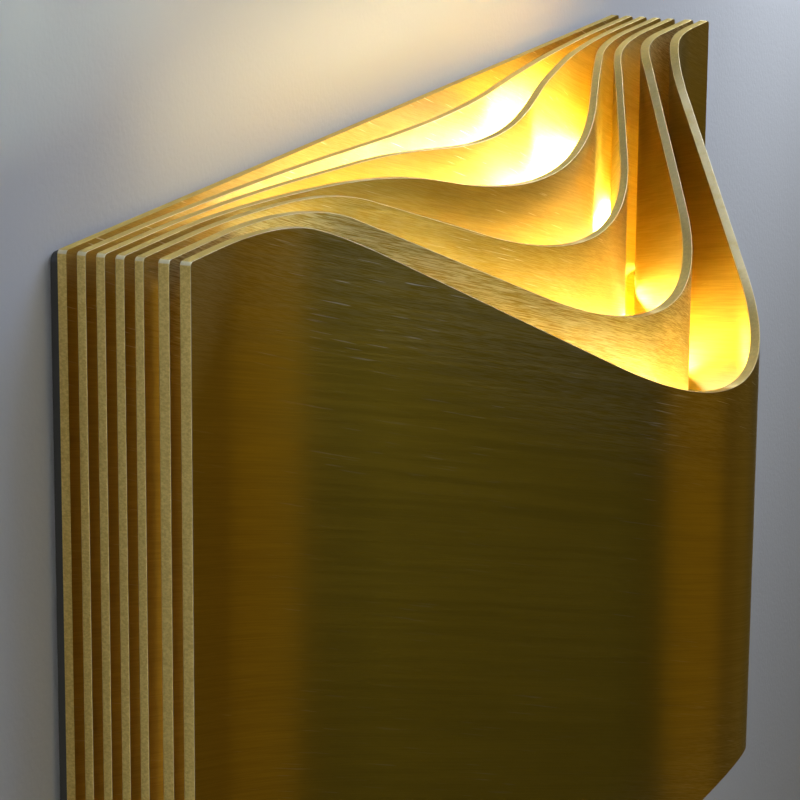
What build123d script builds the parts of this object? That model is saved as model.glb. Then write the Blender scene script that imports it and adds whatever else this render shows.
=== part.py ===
import math
import os

from build123d import *

os.makedirs("parts", exist_ok=True)

# Wall light of seven stacked brass sheets, in millimetres.
# X runs along the wall, the wall is the plane y = 0, the lamp stands out towards -Y, Z is up.

# Overall outline, the same for all seven sheets where they lie flat at the two ends
width = 325.0
height = 200.0
corner_radius = 1.0

# Stack at the two ends: rear sheets, the gap held by the spacer strips, and the two thicker front sheets
rear_sheet = 1.8
front_sheet = 2.2
gap = 2.1
strip_thickness = 0.8
plate_thickness = 2.0

# Bends of sheets 2 to 7: flat length at each end, how far the nose stands out from sheet 1,
# slope between the valley and the nose, and radius of the nose
flat_length = (15.5, 22.5, 25.0, 22.5, 25.0, 13.0)
nose_reach = (13.0, 24.5, 38.0, 48.5, 65.5, 83.0)
bend_slope = (6.4, 10.5, 16.6, 20.4, 26.7, 30.8)
nose_radius = (311.0, 204.0, 188.0, 138.0, 116.0, 95.0)

# Top and bottom edges: level out to this distance from sheet 1, then cut back at this angle,
# with this radius between the two
cut_start = (17.5, 20.5, 26.5, 24.0, 26.5, 28.5)
cut_angle = 45.0
cut_blend = (10.0, 10.0, 18.0, 12.0, 14.0, 8.0)

# Clamp screws through the whole stack, near both ends
screw_inset = 10.0
screw_rows = (-70.0, 70.0)
screw_diameter = 3.0
screw_head = 5.6
screw_end_gap = 0.3
driver_width = 2.0
driver_depth = 0.9
hole_clearance = 0.4
thread_clearance = 0.1

# Spacer strips between the sheets and threaded strips behind the front sheet. They take the clamp
# screws, and keep the light from leaking out at the two ends
spacer_width = 5.0
spacer_edge_inset = 6.0

# Fixing strips spot welded behind sheet 6
strip_width = 18.0
strip_end_inset = 3.0
strip_edge_inset = 6.0
strip_corner = 3.0

# LED strips on the front of sheets 1 to 6, this far below and above the edges of the sheet in front
led_width = 124.0
led_inset = 27.0
board_height = 8.0
board_thickness = 0.6
board_tape = 0.15
cover_inset = 0.5
cover_thickness = 1.8
wire_hole = 3.6

# Wall plate behind sheet 1
plate_inset = 1.0
plate_corner = 2.0
wall_hole = 4.0
wall_hole_sink = 7.2
wall_hole_x = 110.0
wall_hole_z = 60.0
cable_opening = 32.0
hook_x = 70.0
hook_z = 52.0
hook_width = 12.0
hook_thickness = 2.0
hook_lip = 3.5
hook_clearance = 0.3
slot_side_clearance = 0.5
slot_entry = 0.5

# Cable grommet in sheet 1
grommet_drop = 18.0
grommet_hole = 10.0
grommet_flange = 14.0
grommet_bore = 6.5
grommet_lip = 1.2

# Planes of the stack at the ends, measured out from the wall
sheet_rear_y = -plate_thickness
sheet_1_front = sheet_rear_y - rear_sheet
half_width = width / 2
half_height = height / 2


def thickness_of(number):
    """Thickness of a sheet, counted from the wall."""
    return front_sheet if number >= 6 else rear_sheet


def flat_front(number):
    """Y of the front face of a sheet where it lies flat."""
    y = sheet_1_front
    for above in range(2, number + 1):
        y -= gap + thickness_of(above)
        if above == 6:
            y -= strip_thickness
    return y


def nose_front(number):
    """Y of the front face of a sheet at mid width."""
    return sheet_1_front - (nose_reach[number - 2] if number > 1 else 0.0)


def nose_half_height(number):
    """Half height of a bent sheet at mid width, below where its edges are cut back."""
    index = number - 2
    straight = nose_reach[index] - cut_start[index]
    return half_height - max(0.0, straight * math.tan(math.radians(cut_angle)))


def valley_radius(number):
    """Radius of the valley after the flat, from the slope that the valley and the nose share."""
    run = half_width - flat_length[number - 2]
    rise = flat_front(number) - nose_front(number)
    slope = math.radians(bend_slope[number - 2])
    both_arcs = (run * math.tan(slope) - rise) / (1 / math.cos(slope) - 1)
    return both_arcs - nose_radius[number - 2]


def screw_points():
    """X and Z of the clamp screws."""
    return [(side * (half_width - screw_inset), z) for side in (-1, 1) for z in screw_rows]


def facing_wall(y):
    """Plane at a given y whose normal points out of the wall and whose second axis is Z."""
    return Plane(origin=(0, y, 0), x_dir=(1, 0, 0), z_dir=(0, -1, 0))


def outline_from_above(number, out):
    """Outline from the wall to a line that runs this far in front of a bent sheet."""
    index = number - 2
    slope = math.radians(bend_slope[index])
    valley = valley_radius(number) - out
    nose = nose_radius[index] + out
    front_y = flat_front(number) - out
    nose_y = nose_front(number) - out
    bend = (-half_width + flat_length[index], front_y)
    valley_end = (bend[0] + valley * math.sin(slope), front_y - valley * (1 - math.cos(slope)))
    nose_start = (-nose * math.sin(slope), nose_y + nose * (1 - math.cos(slope)))
    Line((-half_width, front_y), bend)
    RadiusArc(bend, valley_end, valley)
    Line(valley_end, nose_start)
    mirror(about=Plane.YZ)
    RadiusArc(nose_start, (-nose_start[0], nose_start[1]), -nose)
    Polyline((-half_width, front_y), (-half_width, 0), (half_width, 0), (half_width, front_y))


def bent_blank(number):
    """Block behind the front face of a bent sheet, with its top and bottom edges cut back."""
    index = number - 2
    nose_y = nose_front(number)
    with BuildPart() as blank:
        with BuildSketch(Plane.XY.offset(-half_height)):
            with BuildLine():
                outline_from_above(number, 0)
            make_face()
        extrude(amount=height)
        start = sheet_1_front - cut_start[index]
        fall = (start - nose_y) * math.tan(math.radians(cut_angle))
        if fall > 0:
            reach = 2 * (start - nose_y)
            drop = reach * math.tan(math.radians(cut_angle))
            with BuildSketch(Plane.YZ.offset(-width)) as edge_cut:
                with BuildLine():
                    kink = FilletPolyline(
                        (0, half_height), (start, half_height), (start - reach, half_height - drop),
                        radius=cut_blend[index])
                    Polyline(kink @ 1, (start - reach, half_height + drop), (0, half_height + drop), kink @ 0)
                make_face()
                mirror(about=Plane.XZ)
            extrude(amount=2 * width, mode=Mode.SUBTRACT)
    return blank.part


def bent_sheet(number):
    """Bent sheet, cut flat and then bent, so its edges stand square to its faces."""
    blank = bent_blank(number)
    fronts = [f for f in blank.faces() if f.normal_at().Y < -0.5 and abs(f.normal_at().Z) < 0.001]
    with BuildPart() as sheet:
        for face in fronts:
            thicken(face, amount=-thickness_of(number))
        corners = sheet.edges().filter_by(Axis.Y).group_by(Axis.X)
        fillet(corners[0] + corners[-1], radius=corner_radius)
        if number < 7:
            with BuildSketch(facing_wall(0)):
                Circle(wire_hole / 2)
                with Locations(*screw_points()):
                    Circle((screw_diameter + hole_clearance) / 2)
            extrude(amount=2 * nose_reach[-1], mode=Mode.SUBTRACT)
    return sheet.part


# Wall plate: black folded steel with four hooks that carry sheet 1
with BuildPart() as wall_plate:
    with BuildSketch(facing_wall(0)):
        RectangleRounded(width - 2 * plate_inset, height - 2 * plate_inset, plate_corner)
        with Locations((0, -grommet_drop)):
            Circle(cable_opening / 2, mode=Mode.SUBTRACT)
    extrude(amount=plate_thickness)
    with Locations(facing_wall(-plate_thickness)):
        with GridLocations(2 * wall_hole_x, 2 * wall_hole_z, 2, 2):
            CounterSinkHole(wall_hole / 2, wall_hole_sink / 2, plate_thickness, counter_sink_angle=90)
    hook_reach = plate_thickness + rear_sheet + hook_clearance + hook_thickness
    for side in (-1, 1):
        with BuildSketch(Plane.YZ.offset(side * hook_x - hook_width / 2)):
            for row in (-1, 1):
                foot = row * hook_z
                with BuildLine():
                    Polyline(
                        (-plate_thickness, foot), (-hook_reach, foot),
                        (-hook_reach, foot + hook_thickness + hook_lip),
                        (-hook_reach + hook_thickness, foot + hook_thickness + hook_lip),
                        (-hook_reach + hook_thickness, foot + hook_thickness),
                        (-plate_thickness, foot + hook_thickness), close=True)
                make_face()
        extrude(amount=hook_width)
wall_plate.part.label = "wall_plate"
export_step(wall_plate.part, "parts/wall_plate.step")

# Rear sheet: flat, hung on the hooks, countersunk from behind for the clamp screws
with BuildPart() as sheet_1:
    with BuildSketch(facing_wall(sheet_rear_y)):
        RectangleRounded(width, height, corner_radius)
        slot_height = hook_thickness + hook_lip + slot_entry
        for row in (-1, 1):
            with Locations((0, row * hook_z + hook_thickness - slot_height / 2)):
                with GridLocations(2 * hook_x, 0, 2, 1):
                    Rectangle(hook_width + 2 * slot_side_clearance, slot_height, mode=Mode.SUBTRACT)
        Circle(wire_hole / 2, mode=Mode.SUBTRACT)
        with Locations((0, -grommet_drop)):
            Circle(grommet_hole / 2, mode=Mode.SUBTRACT)
    extrude(amount=rear_sheet)
    with BuildSketch(facing_wall(sheet_rear_y)):
        with Locations(*screw_points()):
            Circle((screw_diameter + hole_clearance) / 2)
    extrude(amount=rear_sheet, mode=Mode.SUBTRACT)
    sink_depth = (screw_head - screw_diameter) / 2
    with Locations(*[(x, sheet_rear_y - sink_depth / 2, z) for x, z in screw_points()]):
        Cone(screw_diameter / 2, screw_head / 2, sink_depth, rotation=(-90, 0, 0), mode=Mode.SUBTRACT)
sheet_1.part.label = "sheet_1"
export_step(sheet_1.part, "parts/sheet_1.step")

# Bent sheets, from the shallow one next to the rear sheet to the deep front one
for number in range(2, 8):
    with BuildPart() as sheet:
        add(bent_sheet(number))
    sheet.part.label = f"sheet_{number}"
    export_step(sheet.part, f"parts/sheet_{number}.step")

# Fixing strips behind sheet 6, rounded at the corners so they hardly show past its edge
for name, side in (("left", -1), ("right", 1)):
    strip_front = flat_front(6) + front_sheet
    strip_x = side * (half_width - strip_end_inset - strip_width / 2)
    with BuildPart() as strip:
        with BuildSketch(facing_wall(strip_front)):
            with Locations((strip_x, 0)):
                RectangleRounded(strip_width, height - 2 * strip_edge_inset, strip_corner)
            with Locations(*[p for p in screw_points() if p[0] * side > 0]):
                Circle((screw_diameter + hole_clearance) / 2, mode=Mode.SUBTRACT)
        extrude(amount=-strip_thickness)
    strip.part.label = f"fixing_strip_{name}"
    export_step(strip.part, f"parts/fixing_strip_{name}.step")


def end_strip(rear_y, thickness, hole, side):
    """Flat strip at one end of the stack, with a hole for each clamp screw."""
    with BuildPart() as strip:
        with BuildSketch(facing_wall(rear_y)):
            with Locations((side * (half_width - screw_inset), 0)):
                Rectangle(spacer_width, height - 2 * spacer_edge_inset)
            with Locations(*[p for p in screw_points() if p[0] * side > 0]):
                Circle(hole / 2, mode=Mode.SUBTRACT)
        extrude(amount=thickness)
    return strip.part


# Spacer strips: one on the front of each of sheets 1 to 5 at either end
for name, side in (("left", -1), ("right", 1)):
    for number in range(1, 6):
        with BuildPart() as spacer:
            add(end_strip(flat_front(number), gap, screw_diameter + hole_clearance, side))
        spacer.part.label = f"spacer_{name}_{number}"
        export_step(spacer.part, f"parts/spacer_{name}_{number}.step")

# Threaded strips welded to the back of the front sheet, so no fastener shows from the front
for name, side in (("left", -1), ("right", 1)):
    with BuildPart() as threaded:
        add(end_strip(flat_front(6), gap, screw_diameter + thread_clearance, side))
    threaded.part.label = f"threaded_strip_{name}"
    export_step(threaded.part, f"parts/threaded_strip_{name}.step")

# Clamp screws: countersunk heads flush behind sheet 1, threaded into the front strips
screw_length = sheet_rear_y - flat_front(6) + gap - screw_end_gap
with BuildPart() as clamp_screws:
    with Locations(*[(x, sheet_rear_y - sink_depth / 2, z) for x, z in screw_points()]):
        Cone(screw_diameter / 2, screw_head / 2, sink_depth, rotation=(-90, 0, 0))
    with BuildSketch(facing_wall(sheet_rear_y - sink_depth)):
        with Locations(*screw_points()):
            Circle(screw_diameter / 2)
    extrude(amount=screw_length - sink_depth)
    with BuildSketch(facing_wall(sheet_rear_y)):
        with Locations(*screw_points()):
            RegularPolygon(driver_width / 2, 6, major_radius=False)
    extrude(amount=driver_depth, mode=Mode.SUBTRACT)
clamp_screws.part.label = "clamp_screws"
export_step(clamp_screws.part, "parts/clamp_screws.step")


def led_bands(number, inner, outer, across, tall):
    """Upper and lower band along the front of a sheet, between two distances from its face."""
    rise = nose_half_height(number + 1) - led_inset
    with BuildPart() as bands:
        with BuildSketch(*[Plane.XY.offset(side * rise - tall / 2) for side in (-1, 1)]):
            if number == 1:
                with Locations((0, sheet_1_front - (inner + outer) / 2)):
                    Rectangle(across, outer - inner)
            else:
                with BuildLine():
                    outline_from_above(number, outer)
                make_face()
                with BuildLine():
                    outline_from_above(number, inner)
                make_face(mode=Mode.SUBTRACT)
                Rectangle(across, 2 * nose_reach[-1] + 2 * gap, mode=Mode.INTERSECT)
        extrude(amount=tall)
    return bands.part


# LED boards and their milky silicone covers on the noses, one pair above and one pair below
cover_height = board_height - 2 * cover_inset
for number in range(1, 7):
    with BuildPart() as led_boards:
        add(led_bands(number, board_tape, board_tape + board_thickness, led_width, board_height))
    led_boards.part.label = f"led_boards_{number}"
    export_step(led_boards.part, f"parts/led_boards_{number}.step")
    with BuildPart() as led_covers:
        cover_rear = board_tape + board_thickness
        add(led_bands(number, cover_rear, cover_rear + cover_thickness,
                      led_width - 2 * cover_inset, cover_height))
    led_covers.part.label = f"led_covers_{number}"
    export_step(led_covers.part, f"parts/led_covers_{number}.step")

# Cable grommet: rubber, clipped into the rear sheet over the wall box
with BuildPart() as cable_grommet:
    with BuildSketch(Plane.YZ):
        with BuildLine():
            back = sheet_rear_y + grommet_lip
            front = sheet_1_front - grommet_lip
            centre = -grommet_drop
            Polyline(
                (back, centre + grommet_bore / 2), (back, centre + grommet_flange / 2),
                (sheet_rear_y, centre + grommet_flange / 2), (sheet_rear_y, centre + grommet_hole / 2),
                (sheet_1_front, centre + grommet_hole / 2), (sheet_1_front, centre + grommet_flange / 2),
                (front, centre + grommet_flange / 2), (front, centre + grommet_bore / 2), close=True)
        make_face()
    revolve(axis=Axis((0, 0, -grommet_drop), (0, 1, 0)))
cable_grommet.part.label = "cable_grommet"
export_step(cable_grommet.part, "parts/cable_grommet.step")
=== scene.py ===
import math

import bpy
from mathutils import Matrix, Vector


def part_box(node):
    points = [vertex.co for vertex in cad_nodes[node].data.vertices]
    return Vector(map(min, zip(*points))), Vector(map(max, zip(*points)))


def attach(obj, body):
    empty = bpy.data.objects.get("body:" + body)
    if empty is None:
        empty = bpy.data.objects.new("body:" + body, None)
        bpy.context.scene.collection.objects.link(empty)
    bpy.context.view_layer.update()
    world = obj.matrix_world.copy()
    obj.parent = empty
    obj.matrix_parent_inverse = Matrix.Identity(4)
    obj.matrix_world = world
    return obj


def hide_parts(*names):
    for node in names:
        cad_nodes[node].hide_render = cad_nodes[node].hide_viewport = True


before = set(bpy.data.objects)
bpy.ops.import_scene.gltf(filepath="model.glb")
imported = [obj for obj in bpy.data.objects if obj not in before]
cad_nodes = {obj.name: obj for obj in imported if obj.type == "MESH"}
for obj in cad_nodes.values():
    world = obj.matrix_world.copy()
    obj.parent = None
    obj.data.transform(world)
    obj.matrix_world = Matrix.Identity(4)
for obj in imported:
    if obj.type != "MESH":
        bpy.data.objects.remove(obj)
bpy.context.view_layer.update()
scene = bpy.context.scene
mm = 0.001


# ---------------------------------------------------------------------------------------------
# Rear sheet. A flat brass sheet, 325 by 200 by 1.8 mm, sawn to size, its faces brushed level
# with an abrasive belt and its ends milled. It hangs on the four hooks of the wall plate and
# carries the whole stack.

BRASS_LIGHT = (0.62, 0.40, 0.028, 1)
BRASS_DARK = (0.46, 0.275, 0.012, 1)
BRASS_SAWN = (0.74, 0.55, 0.17, 1)
BRASS_FILED = (0.60, 0.43, 0.11, 1)
# Painted glint: pale brass put on the arrises and scratches for the light they catch
BRASS_PAINTED_GLINT = (1.0, 0.90, 0.60, 1)
BRASS_MILLED = (1.0, 0.76, 0.27, 1)
BRASS_MILLED_DEEP = (0.78, 0.54, 0.14, 1)
# Streaks along the cut edges: pale ones a painted sheen of light, and darker ones
BRASS_SHEEN_PALE = (0.90, 0.80, 0.46, 1)
BRASS_STREAK_DARK = (0.32, 0.18, 0.010, 1)

SHEET_WIDTH = 325.0
SHEET_HEIGHT = 200.0
HAIR_WIDTH = 0.28
HAIR_LENGTH = 30.0
# Slopes of the belt's passes over the sheet: for the fine lines, the broad ones and the scratches
BELT_TILTS = (0.26, 0.30, 0.34)
# The painted arris highlight runs down the ends between these distances from the end of the sheet
ARRIS_FROM, ARRIS_FULL = 1.4, 0.9
# The file's scuffs and the painted sheen start and are at their full strength this far below a cut edge
RIM_FROM, RIM_FULL = 30.0, 1.5
# Start of the cut of a piece that has none: further out than any piece reaches
UNCUT = 200.0
SCORE_DEPTH = 0.014


def feed(tree, socket, value):
    """Links a value to a socket, or sets it there where it is a number or a colour."""
    if isinstance(value, bpy.types.NodeSocket):
        tree.links.new(value, socket)
    else:
        socket.default_value = value


def place(tree, kind, **settings):
    """Adds a shader node; a setting whose name is a socket goes on that socket."""
    made = tree.nodes.new(kind)
    for name, value in settings.items():
        if hasattr(made, name):
            setattr(made, name, value)
        else:
            made.inputs[name].default_value = value
    return made


def calculate(tree, operation, *values):
    """Adds a Math node and gives its output; each value is a socket or a number."""
    made = place(tree, "ShaderNodeMath", operation=operation)
    for socket, value in zip(made.inputs, values):
        feed(tree, socket, value)
    return made.outputs[0]


def times(tree, first, second):
    """Product of two values."""
    return calculate(tree, "MULTIPLY", first, second)


def step_between(tree, value, low, high, start=0.0, end=1.0):
    """Smooth step of a value from start to end while it goes from low to high."""
    made = place(tree, "ShaderNodeMapRange", interpolation_type="SMOOTHSTEP")
    tree.links.new(value, made.inputs["Value"])
    for name, number in (("From Min", low), ("From Max", high), ("To Min", start), ("To Max", end)):
        made.inputs[name].default_value = number
    return made.outputs["Result"]


def mix_colours(tree, amount, first, second):
    """Mixes two colours, each a socket or a colour, by an amount."""
    made = place(tree, "ShaderNodeMix", data_type="RGBA")
    for socket, value in ((made.inputs["Factor"], amount), (made.inputs[6], first), (made.inputs[7], second)):
        feed(tree, socket, value)
    return made.outputs[2]


def mix_values(tree, amount, first, second):
    """Mixes two values by an amount."""
    made = place(tree, "ShaderNodeMix", data_type="FLOAT")
    for socket, value in ((made.inputs["Factor"], amount), (made.inputs[2], first), (made.inputs[3], second)):
        feed(tree, socket, value)
    return made.outputs[0]


def axes_of(tree, vector):
    """X, Y and Z of a vector, by name."""
    made = place(tree, "ShaderNodeSeparateXYZ")
    tree.links.new(vector, made.inputs[0])
    return made.outputs


def noise(tree, vector, scale, detail, rough=0.5, seed=None):
    """Noise over a vector; where a seed is given, it differs from piece to piece."""
    made = place(tree, "ShaderNodeTexNoise", Scale=scale, Detail=detail, Roughness=rough)
    if seed is not None:
        made.noise_dimensions = "4D"
        tree.links.new(seed, made.inputs["W"])
    tree.links.new(vector, made.inputs["Vector"])
    return made.outputs["Fac"]


def bump_from(tree, height, strength, depth):
    """Normal of a surface that this height presses in or out by up to a depth in mm."""
    made = place(tree, "ShaderNodeBump", Strength=strength, Distance=depth * mm)
    tree.links.new(height, made.inputs["Height"])
    return made.outputs["Normal"]


def start_material(name):
    """New material, its tree, its surface node and the place on the piece."""
    material = bpy.data.materials.new(name)
    material.use_nodes = True
    tree = material.node_tree
    return material, tree, tree.nodes["Principled BSDF"], place(tree, "ShaderNodeTexCoord").outputs["Object"]


def start_group(name, inputs, outputs):
    """New shader node group with its two end nodes; an input without a number takes a vector."""
    group = bpy.data.node_groups.new(name, "ShaderNodeTree")
    for label, value in inputs.items():
        kind = "NodeSocketVector" if value is None else "NodeSocketFloat"
        socket = group.interface.new_socket(label, in_out="INPUT", socket_type=kind)
        if value is not None:
            socket.default_value = value
    for label in outputs:
        group.interface.new_socket(label, in_out="OUTPUT", socket_type="NodeSocketFloat")
    return group, group.nodes.new("NodeGroupInput"), group.nodes.new("NodeGroupOutput")


def brushed_grain_group():
    """Lines left by a brushing belt that ran level: fine hairlines, single scratches and clouds."""
    group, inlet, outlet = start_group(
        "Brushed grain",
        {"Vector": None, "Seed": 0.0, "Hair width": HAIR_WIDTH * mm, "Hair length": HAIR_LENGTH * mm},
        ("Hairlines", "Scuffs and sheen", "Scratches", "Clouds", "Height"))
    seed = inlet.outputs["Seed"]
    per_width = calculate(group, "DIVIDE", 1.0, inlet.outputs["Hair width"])
    per_length = calculate(group, "DIVIDE", 1.0, inlet.outputs["Hair length"])
    spot = axes_of(group, inlet.outputs["Vector"])

    def stretched(along, across, tilt, shift):
        """The place on the sheet, drawn out along the belt's path."""
        level = calculate(group, "MULTIPLY_ADD", spot["X"], tilt, spot["Z"])
        joined = place(group, "ShaderNodeCombineXYZ")
        group.links.new(times(group, spot["X"], along), joined.inputs["X"])
        group.links.new(times(group, spot["Y"], along), joined.inputs["Y"])
        group.links.new(calculate(group, "MULTIPLY_ADD", level, across, shift), joined.inputs["Z"])
        return joined.outputs[0]

    def streaks(shorter, finer, tilt, shift, detail, rough):
        """Streaks of the belt, this many times shorter and finer than a hairline."""
        drawn_out = stretched(times(group, per_length, shorter), times(group, per_width, finer), tilt, shift)
        return noise(group, drawn_out, 1.0, detail, rough, seed)

    fine_tilt, broad_tilt, scratch_tilt = BELT_TILTS
    fine = streaks(1.0, 1.0, fine_tilt, 0.0, 3.0, 0.65)
    broad = streaks(0.5, 0.16, broad_tilt, 7.0, 2.0, 0.6)
    dashes = streaks(2.6, 0.9, scratch_tilt, 21.0, 1.0, 0.5)
    scuffs_and_sheen = streaks(7.0, 2.0, scratch_tilt, 5.0, 2.0, 0.6)
    clouds = noise(group, stretched(9.0, 14.0, 0.0, 3.0), 1.0, 4.0, 0.55, seed)
    where = noise(group, inlet.outputs["Vector"], 38.0, 2.0, 0.5, seed)
    hair = calculate(group, "ADD", times(group, fine, 0.65), times(group, broad, 0.35))
    hair = step_between(group, hair, 0.34, 0.66)
    scratch = times(group, step_between(group, dashes, 0.66, 0.74), step_between(group, where, 0.40, 0.60))
    for label, value in (("Hairlines", hair), ("Scuffs and sheen", step_between(group, scuffs_and_sheen, 0.38, 0.62)),
                         ("Scratches", scratch), ("Clouds", step_between(group, clouds, 0.3, 0.7)),
                         ("Height", calculate(group, "SUBTRACT", hair, scratch))):
        group.links.new(value, outlet.inputs[label])
    return group


def sawn_edge_group():
    """Where a sheet shows its sawn and filed edge, a painted highlight along the arrises of that edge, and the
    marks on it.
    """
    group, inlet, outlet = start_group("Sawn edge", {"Vector": None, "Normal": None, "Seed": 0.0},
                                       ("Edge", "End", "Painted arris highlight", "Marks"))
    facing = axes_of(group, inlet.outputs["Normal"])
    spot = axes_of(group, inlet.outputs["Vector"])
    across = calculate(group, "ABSOLUTE", facing["X"])
    upward = calculate(group, "ABSOLUTE", facing["Z"])
    end = step_between(group, across, 0.74, 0.9)
    level = step_between(group, upward, 0.45, 0.65)

    def between_faces(lean):
        """Where the surface leans halfway between a face and an edge."""
        return times(group, step_between(group, lean, 0.2, 0.45), step_between(group, lean, 0.8, 0.97, 1.0, 0.0))

    at_end = step_between(group, calculate(group, "ABSOLUTE", spot["X"]),
                          (SHEET_WIDTH / 2 - ARRIS_FROM) * mm, (SHEET_WIDTH / 2 - ARRIS_FULL) * mm)
    arris = calculate(group, "MAXIMUM", between_faces(upward), times(group, between_faces(across), at_end))
    # Breaks up the painted arris highlight along the edge
    highlight_unevenness = noise(group, inlet.outputs["Vector"], 220.0, 2.0)
    spread = place(group, "ShaderNodeVectorMath", operation="MULTIPLY")
    spread.inputs[1].default_value = (420.0, 1900.0, 2600.0)
    group.links.new(inlet.outputs["Vector"], spread.inputs[0])
    marks = noise(group, spread.outputs[0], 1.0, 3.0, 0.6, inlet.outputs["Seed"])
    for label, value in (("Edge", calculate(group, "MAXIMUM", end, level)), ("End", end),
                         ("Painted arris highlight", times(group, arris, step_between(group, highlight_unevenness, 0.25, 0.55, 0.45, 1.0))),
                         ("Marks", step_between(group, marks, 0.32, 0.68))):
        group.links.new(value, outlet.inputs[label])
    return group


def scuff_and_sheen_rim_group():
    """How much of the rim below a cut edge carries the file's scuffs and a painted sheen of light."""
    group, inlet, outlet = start_group("Scuffed rim with painted sheen", {"Vector": None, "Normal": None, "Cut start": UNCUT * mm},
                                       ("Rim",))
    spot = axes_of(group, inlet.outputs["Vector"])
    facing = axes_of(group, inlet.outputs["Normal"])
    past = calculate(group, "SUBTRACT", times(group, spot["Y"], -1.0), inlet.outputs["Cut start"])
    height = calculate(group, "ADD", calculate(group, "ABSOLUTE", spot["Z"]),
                       calculate(group, "MAXIMUM", past, 0.0))
    below_edge = step_between(group, height, (SHEET_HEIGHT / 2 - RIM_FROM) * mm,
                              (SHEET_HEIGHT / 2 - RIM_FULL) * mm)
    outside = step_between(group, facing["Y"], -0.3, 0.0, 1.0, 0.0)
    group.links.new(times(group, below_edge, outside), outlet.inputs["Rim"])
    return group


brushed_grain = brushed_grain_group()
sawn_edge = sawn_edge_group()
scuff_and_sheen_rim = scuff_and_sheen_rim_group()


def brushed_brass(name, seed, rough=(0.33, 0.42), stretch=0.92, cut_start=UNCUT, scuffs_and_sheen=0.1):
    """Brass brushed level with a belt, darker where it has toned, with paler sawn edges, painted highlights on
    its arrises and scratches, and scuffs with a painted sheen along its cut edges.
    """
    material, tree, metal, where = start_material(name)
    facing = place(tree, "ShaderNodeNewGeometry").outputs["Normal"]
    grain = place(tree, "ShaderNodeGroup", node_tree=brushed_grain, Seed=seed)
    edge = place(tree, "ShaderNodeGroup", node_tree=sawn_edge, Seed=seed)
    rim = place(tree, "ShaderNodeGroup", node_tree=scuff_and_sheen_rim)
    rim.inputs["Cut start"].default_value = cut_start * mm
    for effect in (grain, edge, rim):
        tree.links.new(where, effect.inputs["Vector"])
    for effect in (edge, rim):
        tree.links.new(facing, effect.inputs["Normal"])
    on_edge, marks, scuff_and_sheen_band = edge.outputs["Edge"], edge.outputs["Marks"], rim.outputs["Rim"]
    hairlines = grain.outputs["Hairlines"]

    toned = calculate(tree, "MULTIPLY_ADD", grain.outputs["Clouds"], 0.45, times(tree, hairlines, 0.55))
    face_colour = mix_colours(tree, toned, BRASS_DARK, BRASS_LIGHT)
    # Along the cut edges: the file's scuffs, with a painted sheen of light in their pale streaks
    scuff_and_sheen_colour = mix_colours(tree, grain.outputs["Scuffs and sheen"], BRASS_STREAK_DARK, BRASS_SHEEN_PALE)
    face_colour = mix_colours(tree, times(tree, scuff_and_sheen_band, scuffs_and_sheen), face_colour, scuff_and_sheen_colour)
    # Scratches painted pale, a painted glint, most of all along the cut edges
    struck = times(tree, grain.outputs["Scratches"], calculate(tree, "MULTIPLY_ADD", scuff_and_sheen_band, 0.8, 0.15))
    face_colour = mix_colours(tree, struck, face_colour, BRASS_PAINTED_GLINT)
    edge_colour = mix_colours(tree, marks, BRASS_FILED, BRASS_SAWN)
    end_colour = mix_colours(tree, marks, BRASS_MILLED_DEEP, BRASS_MILLED)
    edge_colour = mix_colours(tree, edge.outputs["End"], edge_colour, end_colour)
    colour = mix_colours(tree, on_edge, face_colour, edge_colour)
    # Painted highlight along the arrises
    colour = mix_colours(tree, edge.outputs["Painted arris highlight"], colour, BRASS_PAINTED_GLINT)

    smooth, coarse = rough
    face_rough = step_between(tree, hairlines, 0.0, 1.0, coarse, smooth)
    edge_rough = step_between(tree, marks, 0.0, 1.0, 0.42, 0.55)
    height = mix_values(tree, on_edge, grain.outputs["Height"], marks)
    belt = place(tree, "ShaderNodeCombineXYZ", X=0.08, Y=0.03, Z=1.0)
    metal.inputs["Metallic"].default_value = 0.92
    metal.inputs["Anisotropic"].default_value = stretch
    tree.links.new(colour, metal.inputs["Base Color"])
    tree.links.new(mix_values(tree, on_edge, face_rough, edge_rough), metal.inputs["Roughness"])
    tree.links.new(bump_from(tree, height, 0.6, SCORE_DEPTH), metal.inputs["Normal"])
    tree.links.new(belt.outputs[0], metal.inputs["Tangent"])
    return material


def dress(piece, material):
    """Gives every material slot of a piece the same material."""
    for slot in piece.material_slots:
        slot.material = material


dress(cad_nodes["sheet_1"], brushed_brass("brass, rear sheet", 1.3))


# ---------------------------------------------------------------------------------------------
# Six bent sheets. Each is cut flat with its top and bottom edges dipping towards mid width,
# brushed along its length, and then bent in a press: a flat end, a wide valley, a straight
# flank and a round nose. Sheets 6 and 7 are thicker. All are clamped together at both ends.

CORNER = 1.0
CORNER_TURNS = (0, 30, 60, 90)
CUT_ANGLE = math.radians(45)
EASED = 0.18
REAR_FRONT = 3.8
COLUMN = 1.25
bent_sizes = {
    # sheet: (thickness, front at the ends, flat length, reach of the nose, slope, nose radius,
    #         start of the cut, blend of the cut, seed of the grain, scuffs and painted sheen along the cut edge)
    2: (1.8, 7.7, 15.5, 13.0, 6.4, 311.0, 17.5, 10.0, 2.1, 0.05),
    3: (1.8, 11.6, 22.5, 24.5, 10.5, 204.0, 20.5, 10.0, 3.7, 0.05),
    4: (1.8, 15.5, 25.0, 38.0, 16.6, 188.0, 26.5, 18.0, 4.2, 0.10),
    5: (1.8, 19.4, 22.5, 48.5, 20.4, 138.0, 24.0, 12.0, 5.9, 0.20),
    6: (2.2, 24.5, 25.0, 65.5, 26.7, 116.0, 26.5, 14.0, 6.6, 0.55),
    7: (2.2, 28.8, 13.0, 83.0, 30.8, 95.0, 28.5, 8.0, 7.4, 0.20),
}


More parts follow.
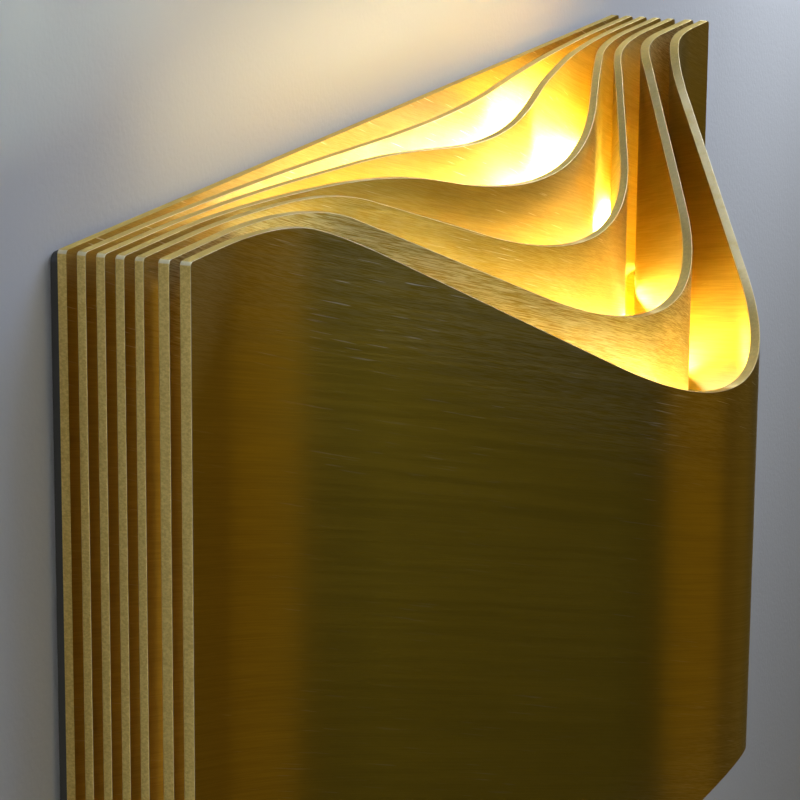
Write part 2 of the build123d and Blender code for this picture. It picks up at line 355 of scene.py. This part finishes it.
def bend_line(ends, flat, reach, slope, nose_radius):
    """Points (x, distance from the wall, slope angle) along the front of a bent sheet."""
    half = SHEET_WIDTH / 2
    angle = math.radians(slope)
    nose_out = REAR_FRONT + reach
    both = ((half - flat) * math.tan(angle) - (nose_out - ends)) / (1 / math.cos(angle) - 1)
    valley_radius = both - nose_radius
    bend = flat - half
    valley_x = bend + valley_radius * math.sin(angle)
    valley_out = ends + valley_radius * (1 - math.cos(angle))
    nose_x = -nose_radius * math.sin(angle)
    nose_from = nose_out - nose_radius * (1 - math.cos(angle))
    line = [(-half + CORNER * (1 - math.cos(math.radians(a))), ends, 0.0) for a in CORNER_TURNS]
    steps = max(1, round((flat - CORNER) / COLUMN))
    line += [(-half + CORNER + (flat - CORNER) * i / steps, ends, 0.0) for i in range(1, steps)]
    steps = max(2, round(valley_radius * angle / COLUMN))
    line += [(bend + valley_radius * math.sin(angle * i / steps),
              ends + valley_radius * (1 - math.cos(angle * i / steps)), angle * i / steps)
             for i in range(steps + 1)]
    steps = max(1, round(math.hypot(nose_x - valley_x, nose_from - valley_out) / COLUMN))
    line += [(valley_x + (nose_x - valley_x) * i / steps,
              valley_out + (nose_from - valley_out) * i / steps, angle) for i in range(1, steps)]
    steps = max(2, round(nose_radius * angle / COLUMN))
    line += [(-nose_radius * math.sin(angle * i / steps),
              nose_out - nose_radius * (1 - math.cos(angle * i / steps)), angle * i / steps)
             for i in range(steps, -1, -1)]
    return line + [(-x, out, -turn) for x, out, turn in reversed(line[:-1])]


def edge_height(out, cut_start, cut_blend):
    """Half height of a sheet where its front is this far from the wall."""
    top = SHEET_HEIGHT / 2
    lead = cut_blend * math.tan(CUT_ANGLE / 2)
    along = out - REAR_FRONT - (cut_start - lead)
    if along <= 0:
        return top
    if along < cut_blend * math.sin(CUT_ANGLE):
        return top - cut_blend + math.sqrt(cut_blend ** 2 - along ** 2)
    return top - (along - lead)


def bent_sheet(number):
    """Mesh of one bent sheet, its edges square to its faces."""
    thickness, ends, flat, reach, slope, nose, cut_start, cut_blend, seed, scuffs_and_sheen = bent_sizes[number]
    line = bend_line(ends, flat, reach, slope, nose)
    last = len(line) - 1
    points, faces = [], []
    for index, (x, out, turn) in enumerate(line):
        top = edge_height(out, cut_start, cut_blend)
        from_end = min(index, last - index)
        if from_end < len(CORNER_TURNS) - 1:
            top -= CORNER * (1 - math.sin(math.radians(CORNER_TURNS[from_end])))
        back_x = x + thickness * math.sin(turn)
        back_out = out - thickness * math.cos(turn)
        points += [(x * mm, -out * mm, -top * mm), (x * mm, -out * mm, top * mm),
                   (back_x * mm, -back_out * mm, top * mm), (back_x * mm, -back_out * mm, -top * mm)]
    for index in range(last):
        here, there = 4 * index, 4 * index + 4
        for side in range(4):
            after = (side + 1) % 4
            faces.append((here + side, there + side, there + after, here + after))
    faces.append((0, 1, 2, 3))
    faces.append(tuple(4 * last + corner for corner in (3, 2, 1, 0)))
    mesh = bpy.data.meshes.new(f"bent_sheet_{number}")
    mesh.from_pydata(points, [], faces)
    mesh.validate()
    mesh.shade_smooth()
    piece = bpy.data.objects.new(f"bent_sheet_{number}", mesh)
    scene.collection.objects.link(piece)
    bevel = piece.modifiers.new("eased", "BEVEL")
    bevel.width = EASED * mm
    bevel.segments = 3
    bevel.limit_method = "ANGLE"
    bevel.angle_limit = math.radians(60)
    weighted = piece.modifiers.new("weighted", "WEIGHTED_NORMAL")
    weighted.keep_sharp = False
    piece.data.materials.append(
        brushed_brass(f"brass, sheet {number}", seed, cut_start=REAR_FRONT + cut_start, scuffs_and_sheen=scuffs_and_sheen))
    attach(piece, "root")
    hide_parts(f"sheet_{number}")


for number in bent_sizes:
    bent_sheet(number)


# ---------------------------------------------------------------------------------------------
# Spacer strips, threaded strips and fixing strips. Bright rolled brass strip, sheared to length
# and held between the sheets by the clamp screws. The threaded strips are welded behind sheet 7.

strip_brass = brushed_brass("brass, strips", 9.1, rough=(0.3, 0.4), stretch=0.6)
for name, piece in cad_nodes.items():
    if name.startswith(("spacer_", "threaded_", "fixing_")):
        dress(piece, strip_brass)


# ---------------------------------------------------------------------------------------------
# Clamp screws. Four zinc plated steel screws, countersunk, driven from behind sheet 1 through
# the whole stack into the threaded strips.

ZINC = (0.52, 0.54, 0.56, 1)
ZINC_YELLOWED = (0.66, 0.64, 0.55, 1)


def plated_steel():
    """Bright zinc with a faint yellow bloom."""
    material, tree, metal, where = start_material("zinc plated steel")
    spots = noise(tree, where, 900.0, 3.0)
    metal.inputs["Metallic"].default_value = 1.0
    tree.links.new(mix_colours(tree, spots, ZINC, ZINC_YELLOWED), metal.inputs["Base Color"])
    tree.links.new(step_between(tree, spots, 0.3, 0.7, 0.25, 0.4), metal.inputs["Roughness"])
    return material


dress(cad_nodes["clamp_screws"], plated_steel())


# ---------------------------------------------------------------------------------------------
# Wall plate. Steel, 2 mm, powder coated black, screwed to the wall over the wall box. Its four
# hooks carry sheet 1, and its edge shows as a thin dark line behind the stack.

COAT_BLACK = (0.012, 0.011, 0.010, 1)
COAT_BLACK_WORN = (0.022, 0.021, 0.02, 1)


def powder_coat():
    """Matt black coat with the fine peel of baked powder."""
    material, tree, paint, where = start_material("black powder coat")
    peel = noise(tree, where, 1400.0, 2.0)
    tree.links.new(mix_colours(tree, peel, COAT_BLACK, COAT_BLACK_WORN), paint.inputs["Base Color"])
    tree.links.new(step_between(tree, peel, 0.3, 0.7, 0.45, 0.6), paint.inputs["Roughness"])
    tree.links.new(bump_from(tree, peel, 0.3, 0.03), paint.inputs["Normal"])
    return material


dress(cad_nodes["wall_plate"], powder_coat())


# ---------------------------------------------------------------------------------------------
# LED strips. White flexible boards glued on the noses of sheets 1 to 6, each potted in a
# milky silicone profile. Their light is carried along the channels, which lights placed
# above the upper covers and below the lower ones stand in for.

LED_WARM = (0.85, 1.0, 0.80, 1)
LED_BETWEEN = (1.0, 0.72, 0.38, 1)
CARRIED_ON = (1.0, 0.83, 0.14, 1)
BOARD_WHITE = (0.84, 0.84, 0.80, 1)
BOARD_SHADE = (0.74, 0.74, 0.70, 1)
SILICONE_MILKY = (0.85, 0.83, 0.76, 1)
CHIP_STEP = 7.0

channel_watts = {
    # channel: watts of each light far left, at the left, in the middle, at the right and far right
    1: (0.0022, 0.0045, 0.005, 0.009, 0.05),
    2: (0.005, 0.032, 0.125, 0.125, 0.33),
    3: (0.004, 0.018, 0.045, 0.15, 0.27),
    4: (0.002, 0.036, 0.025, 0.085, 0.17),
    5: (0.001, 0.042, 0.035, 0.018, 0.080),
    6: (0.001, 0.036, 0.090, 0.008, 0.030),
}
# x of each light, and which of the five columns above it takes
LIGHT_COLUMNS = {-125: 0, -100: 0, -75: 0, -50: 1, -25: 1, 0: 2, 25: 2, 50: 3, 75: 3, 100: 4, 125: 4}
# By channel and x: what the column's watts are multiplied by, where it isn't 1
WATTS_FACTOR = {(5, 100): 0.08, (5, 125): 0.015, (6, 75): 0.1, (6, 100): 0.5, (6, 125): 1.7}
# By channel and x: how far inside the ends of the covers a further light hangs, and its watts
DEEPER_LIGHTS = {(5, 100): (17.0, 0.02), (5, 125): (17.0, 0.33), (6, 75): (9.0, 0.022)}
# The light is as it leaves the strips between these x, and coloured by the brass beyond them
STRIPS_FROM, STRIPS_TO = -50, 75
LIGHT_WIDTH = 22.0
LIGHT_DEPTH_SHARE = 0.65
OVER_COVERS = 0.5
CLEAR_OF_STRIP = 2.65
CLEAR_OF_SHEET = 0.3


def board_white():
    """White solder mask, a little uneven."""
    material, tree, mask, where = start_material("board, white solder mask")
    spots = noise(tree, where, 700.0, 2.0)
    tree.links.new(mix_colours(tree, spots, BOARD_SHADE, BOARD_WHITE), mask.inputs["Base Color"])
    mask.inputs["Roughness"].default_value = 0.45
    return material


def lit_silicone():
    """Milky silicone, lit from below and brightest over each chip."""
    material, tree, silicone, where = start_material("silicone, lit")
    beat = calculate(tree, "SINE", times(tree, axes_of(tree, where)["X"], 2 * math.pi / (CHIP_STEP * mm)))
    glow = step_between(tree, beat, -1.0, 1.0, 0.35, 1.0)
    tree.links.new(mix_colours(tree, glow, LED_BETWEEN, LED_WARM), silicone.inputs["Emission Color"])
    silicone.inputs["Emission Strength"].default_value = 14.0
    silicone.inputs["Base Color"].default_value = SILICONE_MILKY
    silicone.inputs["Roughness"].default_value = 0.35
    return material


def out_at(number, x):
    """Distance from the wall of the front of a sheet at one x."""
    if number == 1:
        return REAR_FRONT
    line = bend_line(*bent_sizes[number][1:6])
    for (x0, out0, _), (x1, out1, _) in zip(line, line[1:]):
        if x0 <= x <= x1:
            return out0 + (out1 - out0) * (x - x0) / (x1 - x0)


def area_light(name, size, watts, colour, spread=180):
    """Rectangular light, which the caller puts in its place."""
    lamp = bpy.data.lights.new(name, "AREA")
    lamp.shape = "RECTANGLE"
    lamp.size, lamp.size_y = size
    lamp.energy = watts
    lamp.color = colour
    lamp.spread = math.radians(spread)
    holder = bpy.data.objects.new(lamp.name, lamp)
    scene.collection.objects.link(holder)
    return holder


def light_channel(number, x, watts):
    """Lights of one channel at one x, above the upper row of covers and below the lower row."""
    low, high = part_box(f"led_covers_{number}")
    near = out_at(number, x) + (CLEAR_OF_STRIP if x < STRIPS_TO else CLEAR_OF_SHEET)
    far = out_at(number + 1, x) - bent_sizes[number + 1][0] - CLEAR_OF_SHEET
    turn = math.atan2(out_at(number + 1, x + 1) - out_at(number + 1, x - 1), 2.0)
    size = (LIGHT_WIDTH * mm, (far - near) * math.cos(turn) * LIGHT_DEPTH_SHARE * mm)
    colour = LED_WARM[:3] if STRIPS_FROM <= x <= STRIPS_TO else CARRIED_ON[:3]
    hung = [(-OVER_COVERS, watts)]
    if (number, x) in DEEPER_LIGHTS:
        hung.append(DEEPER_LIGHTS[number, x])
    for covers_end, inward, roll in ((high.z, -1, math.pi), (low.z, 1, 0)):
        for deep, energy in hung:
            light = area_light(f"led light {number}", size, energy, colour)
            light.location = (x * mm, -(near + far) / 2 * mm, covers_end + inward * deep * mm)
            light.rotation_euler = (roll, 0, -turn)


board_material = board_white()
silicone_material = lit_silicone()
for number, columns in channel_watts.items():
    dress(cad_nodes[f"led_boards_{number}"], board_material)
    dress(cad_nodes[f"led_covers_{number}"], silicone_material)
    for x, column in LIGHT_COLUMNS.items():
        light_channel(number, x, columns[column] * WATTS_FACTOR.get((number, x), 1.0))


# ---------------------------------------------------------------------------------------------
# Cable grommet. Moulded black rubber, pressed into the round hole of sheet 1 over the wall box,
# where it grips the rim of the hole from both sides.

RUBBER_BLACK = (0.015, 0.015, 0.015, 1)
RUBBER_BLOOM = (0.045, 0.043, 0.04, 1)


def moulded_rubber():
    """Black rubber with a greyish bloom."""
    material, tree, rubber, where = start_material("black rubber")
    bloom = noise(tree, where, 400.0, 4.0)
    tree.links.new(mix_colours(tree, bloom, RUBBER_BLACK, RUBBER_BLOOM), rubber.inputs["Base Color"])
    tree.links.new(step_between(tree, bloom, 0.3, 0.7, 0.55, 0.75), rubber.inputs["Roughness"])
    return material


dress(cad_nodes["cable_grommet"], moulded_rubber())


# ---------------------------------------------------------------------------------------------
# The room: a pale painted wall that opens from behind, a pale floor, cool soft light from above
# and from the left, warm soft light from the right, and the glow of the channels on the wall.

WALL_PAINT = (0.70, 0.70, 0.705, 1)
FLOOR_PAINT = (0.70, 0.69, 0.67, 1)
WALL_Y = 0.0004
ROOM_SIDE = 3.0
ROOM_FRONT = -4.0
ROOM_FLOOR = -0.9
ROOM_TOP = 1.8
DAYLIGHT = (0.80, 0.88, 1.0)
SKYLIGHT = (0.56, 0.67, 1.0)
LAMPLIGHT = (1.0, 0.66, 0.01)
SOFT_WHITE = (1.0, 0.95, 0.70)
CHANNEL_GLOW = (1.0, 0.78, 0.30)
AIR = (0.006, 0.006, 0.007, 1)


def flat_plane(name, corners, paint):
    """One painted plane of the room."""
    mesh = bpy.data.meshes.new(name)
    mesh.from_pydata(corners, [], [(0, 1, 2, 3)])
    made = bpy.data.objects.new(name, mesh)
    scene.collection.objects.link(made)
    made.data.materials.append(paint)


def matt_paint(name, colour, open_behind):
    """Rolled matt paint, which may be clear for a view from behind."""
    material, tree, paint, where = start_material(name)
    paint.inputs["Base Color"].default_value = colour
    paint.inputs["Roughness"].default_value = 0.7
    tree.links.new(bump_from(tree, noise(tree, where, 900.0, 3.0), 0.35, 0.2), paint.inputs["Normal"])
    if open_behind:
        choose = place(tree, "ShaderNodeMixShader")
        tree.links.new(place(tree, "ShaderNodeNewGeometry").outputs["Backfacing"], choose.inputs[0])
        tree.links.new(paint.outputs[0], choose.inputs[1])
        tree.links.new(place(tree, "ShaderNodeBsdfTransparent").outputs[0], choose.inputs[2])
        tree.links.new(choose.outputs[0], tree.nodes["Material Output"].inputs["Surface"])
    return material


def soft_light(name, place_at, aim_at, size, watts, colour, spread=180):
    """Soft light that shines from one place to another."""
    light = area_light(name, size, watts, colour, spread)
    light.location = place_at
    light.rotation_euler = (Vector(aim_at) - Vector(place_at)).to_track_quat("-Z", "Y").to_euler()


flat_plane("wall", [(-ROOM_SIDE, WALL_Y, ROOM_FLOOR), (ROOM_SIDE, WALL_Y, ROOM_FLOOR),
                    (ROOM_SIDE, WALL_Y, ROOM_TOP), (-ROOM_SIDE, WALL_Y, ROOM_TOP)],
           matt_paint("wall paint", WALL_PAINT, True))
flat_plane("floor", [(-ROOM_SIDE, ROOM_FRONT, ROOM_FLOOR), (ROOM_SIDE, ROOM_FRONT, ROOM_FLOOR),
                     (ROOM_SIDE, WALL_Y, ROOM_FLOOR), (-ROOM_SIDE, WALL_Y, ROOM_FLOOR)],
           matt_paint("floor paint", FLOOR_PAINT, False))

soft_light("soft light, upper right", (0.45, -0.05, 0.3), (0.36, 0.0, 0.1), (0.2, 0.05), 0.85, DAYLIGHT, 110)
soft_light("soft light, high right", (0.3, -0.12, 0.45), (0.1, 0.0, 0.1), (0.3, 0.15), 0.15, DAYLIGHT)
soft_light("soft light, above", (0.0, -0.5, 0.8), (0.0, 0.0, 0.1), (0.6, 0.3), 1.5, DAYLIGHT)
soft_light("soft light, over the noses", (0.0, -0.25, 0.3), (0.0, -0.05, 0.08), (0.15, 0.1), 0.22, SKYLIGHT)
soft_light("soft light, over the right", (0.2, -0.3, 0.35), (0.0, -0.05, 0.08), (0.15, 0.1), 0.21, SKYLIGHT)
soft_light("soft light, right", (1.28, -1.35, 0.0), (0.0, 0.0, 0.0), (1.0, 1.6), 1.0, LAMPLIGHT)
soft_light("soft light, far right", (1.8, -0.55, 0.0), (0.0, 0.0, 0.0), (0.7, 1.6), 0.35, LAMPLIGHT)
soft_light("soft light, upper left", (-0.55, -0.06, 0.42), (-0.25, 0.0, 0.12), (0.2, 0.06), 0.6, DAYLIGHT, 110)
soft_light("soft light, lower left", (-0.6, -0.06, -0.35), (-0.16, -0.02, -0.05), (0.1, 0.2), 0.8, SOFT_WHITE)
soft_light("glow on the wall", (0.0, -0.03, 0.115), (0.0, 0.0, 0.125), (0.24, 0.02), 0.023, CHANNEL_GLOW)

world = bpy.data.worlds.new("room")
scene.world = world
world.use_nodes = True
world.node_tree.nodes["Background"].inputs["Color"].default_value = AIR


# ---------------------------------------------------------------------------------------------
# Camera at the photograph's viewing angle, with a long lens. It stands to the left of the
# lamp and above it, and looks along the wall down into the channels.

EYE = (-0.71815, -0.28765, 0.23434)
AHEAD = Vector((0.900671, 0.353609, -0.252492))
RIGHT = Vector((0.367227, -0.930102, 0.007362))

photographed = bpy.data.cameras.new("camera")
photographed.lens = 156.498
photographed.sensor_width = 36.0
photographed.clip_start = 0.01
photographed.clip_end = 20.0
viewer = bpy.data.objects.new("camera", photographed)
turned = Matrix((RIGHT, RIGHT.cross(AHEAD), -AHEAD)).transposed().to_4x4()
viewer.matrix_world = Matrix.Translation(EYE) @ turned
scene.collection.objects.link(viewer)
scene.camera = viewer

scene.view_settings.view_transform = "Standard"
